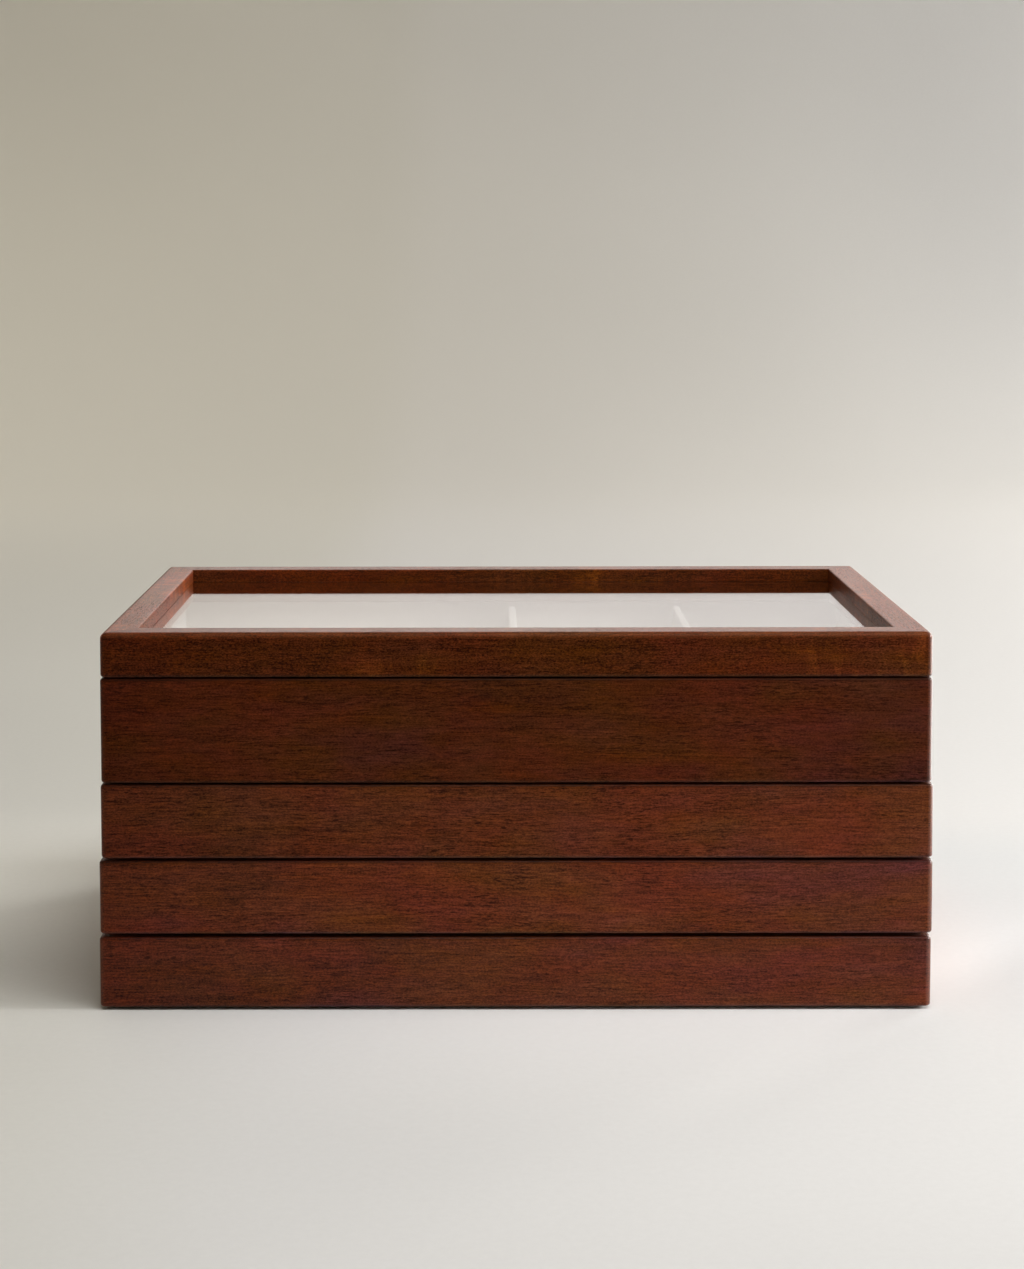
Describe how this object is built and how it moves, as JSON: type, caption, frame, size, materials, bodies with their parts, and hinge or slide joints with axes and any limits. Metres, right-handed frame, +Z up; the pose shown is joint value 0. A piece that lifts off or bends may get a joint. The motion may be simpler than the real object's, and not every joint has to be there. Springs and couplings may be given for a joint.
{
  "type": "wooden jewelry box",
  "caption": "Stained wooden jewelry box: a glass-topped frame lid hinged to a deep lined tray, standing on a stack of loose lined trays with dividers.",
  "frame": {"origin": "centre of the footprint on the surface the box stands on", "axes": "+X to the right along the box's width, +Y to the hinge side, +Z up"},
  "size_m": [0.2816, 0.1724, 0.1288],
  "materials": {
    "stained_wood": "reddish brown stain under a satin clear coat, fine lengthwise grain with small dark pores",
    "base_panel": "stained plywood, matt",
    "lining": "off-white short-nap fabric over card",
    "glass": "clear polished pane",
    "hinge_brass": "brushed, lightly tarnished",
    "screw_brass": "turned, slotted",
    "felt": "dark brown pressed felt"
  },
  "bodies": {
    "bottom_tray": {"bottom_tray_back": "stained_wood", "bottom_tray_base": "base_panel", "bottom_tray_divider": "lining", "bottom_tray_front": "stained_wood", "bottom_tray_left": "stained_wood", "bottom_tray_liner": "lining", "bottom_tray_right": "stained_wood", "foot_back_left": "felt", "foot_back_right": "felt", "foot_front_left": "felt", "foot_front_right": "felt"},
    "third_tray": {"third_tray_back": "stained_wood", "third_tray_base": "base_panel", "third_tray_divider_left": "lining", "third_tray_divider_right": "lining", "third_tray_front": "stained_wood", "third_tray_left": "stained_wood", "third_tray_liner": "lining", "third_tray_right": "stained_wood"},
    "second_tray": {"second_tray_back": "stained_wood", "second_tray_base": "base_panel", "second_tray_divider_centre": "lining", "second_tray_divider_cross": "lining", "second_tray_front": "stained_wood", "second_tray_left": "stained_wood", "second_tray_liner": "lining", "second_tray_right": "stained_wood", "second_tray_ring_pad": "lining"},
    "top_tray": {"hinge_left_pin": "hinge_brass", "hinge_left_tray_leaf": "hinge_brass", "hinge_right_pin": "hinge_brass", "hinge_right_tray_leaf": "hinge_brass", "screw_left_tray_a": "screw_brass", "screw_left_tray_b": "screw_brass", "screw_right_tray_a": "screw_brass", "screw_right_tray_b": "screw_brass", "top_tray_back": "stained_wood", "top_tray_base": "base_panel", "top_tray_divider_centre": "lining", "top_tray_divider_right": "lining", "top_tray_front": "stained_wood", "top_tray_left": "stained_wood", "top_tray_liner": "lining", "top_tray_right": "stained_wood"},
    "lid": {"hinge_left_lid_leaf": "hinge_brass", "hinge_right_lid_leaf": "hinge_brass", "lid_back_rail": "stained_wood", "lid_bead_back": "stained_wood", "lid_bead_front": "stained_wood", "lid_bead_left": "stained_wood", "lid_bead_right": "stained_wood", "lid_front_rail": "stained_wood", "lid_glass": "glass", "lid_left_rail": "stained_wood", "lid_right_rail": "stained_wood", "screw_left_lid_a": "screw_brass", "screw_left_lid_b": "screw_brass", "screw_right_lid_a": "screw_brass", "screw_right_lid_b": "screw_brass"}
  },
  "joints": [
    {"name": "third_tray_lift", "type": "slide", "parent": "bottom_tray", "child": "third_tray", "axis": [0, 0, 1], "range_m": [0, 0.06]},
    {"name": "second_tray_lift", "type": "slide", "parent": "third_tray", "child": "second_tray", "axis": [0, 0, 1], "range_m": [0, 0.06]},
    {"name": "top_tray_lift", "type": "slide", "parent": "second_tray", "child": "top_tray", "axis": [0, 0, 1], "range_m": [0, 0.06]},
    {"name": "lid_hinge", "type": "hinge", "parent": "top_tray", "child": "lid", "pos_m": [0, 0.08475, 0.1136], "axis": [-1, 0, 0], "range_deg": [0, 100]}
  ]
}
